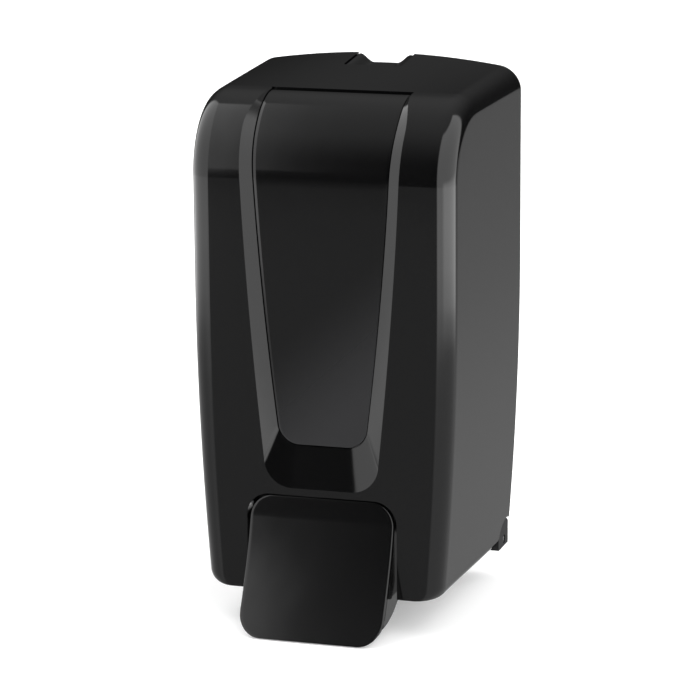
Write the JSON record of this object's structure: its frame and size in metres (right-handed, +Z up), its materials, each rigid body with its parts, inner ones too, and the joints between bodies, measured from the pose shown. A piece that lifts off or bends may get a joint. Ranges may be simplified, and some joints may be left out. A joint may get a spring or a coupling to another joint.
{
  "type": "wall mounted soap dispenser",
  "caption": "Tall black wall dispenser with a hinged front cover, inset front panel, push lever, sprung release button, reservoir and piston pump.",
  "frame": {"origin": "middle of the wall face, at half the height of the back plate", "axes": "+Z up, +Y into the wall, front towards -Y, +X to the right seen from the front"},
  "size_m": [0.1378, 0.1392, 0.2645],
  "materials": {
    "cover_black": "moulded black plastic with a soft polished gloss",
    "panel_black": "smooth black plastic insert, polished",
    "base_black": "fine textured black moulding",
    "reservoir_clear": "milky translucent plastic",
    "pump_white": "natural white plastic",
    "seal_rubber": "black rubber",
    "valve_silicone": "clear grey silicone",
    "bright_steel": "plain stainless steel"
  },
  "bodies": {
    "root": {"back_plate": "base_black", "hinge_pin_left": "bright_steel", "hinge_pin_right": "bright_steel", "reservoir": "reservoir_clear", "reservoir_lid": "pump_white", "reservoir_bracket": "base_black", "bracket_screw_left": "bright_steel", "bracket_screw_right": "bright_steel", "neck_gasket": "seal_rubber", "pump_barrel": "pump_white", "pump_collar": "base_black", "inlet_ball": "bright_steel", "stem_guide": "base_black", "pump_spring": "bright_steel", "latch_guide": "base_black", "latch_screw_left": "bright_steel", "latch_screw_right": "bright_steel", "latch_spring": "bright_steel"},
    "cover": {"front_cover": "cover_black", "front_panel": "panel_black", "lever_pin": "bright_steel"},
    "lever": {"push_lever": "cover_black", "pump_yoke": "base_black", "yoke_screw_left": "bright_steel", "yoke_screw_right": "bright_steel"},
    "piston": {"pump_piston": "pump_white", "piston_ring": "seal_rubber", "nozzle_tip": "base_black", "outlet_valve": "valve_silicone"},
    "latch": {"release_button": "cover_black"}
  },
  "joints": [
    {"name": "cover_hinge", "type": "hinge", "parent": "root", "child": "cover", "pos_m": [0, -0.0075, -0.118], "axis": [1, 0, 0], "range_deg": [0, 75]},
    {"name": "lever_push", "type": "hinge", "parent": "cover", "child": "lever", "pos_m": [0, -0.104, -0.08], "axis": [1, 0, 0], "range_deg": [0, 12], "stiffness_Nm_per_rad": 1.8, "springref_deg": -3.44},
    {"name": "pump_stroke", "type": "slide", "parent": "root", "child": "piston", "axis": [0, 0, 1], "range_m": [0, 0.0098], "deforming": ["pump_spring"]},
    {"name": "latch_press", "type": "slide", "parent": "root", "child": "latch", "axis": [0, 0, -1], "range_m": [0, 0.003], "stiffness_N_per_m": 900, "springref_m": -0.001, "deforming": ["latch_spring"]}
  ],
  "couplings": [
    {"joint": "pump_stroke", "follows": "lever_push", "m_per_rad": 0.0467}
  ]
}
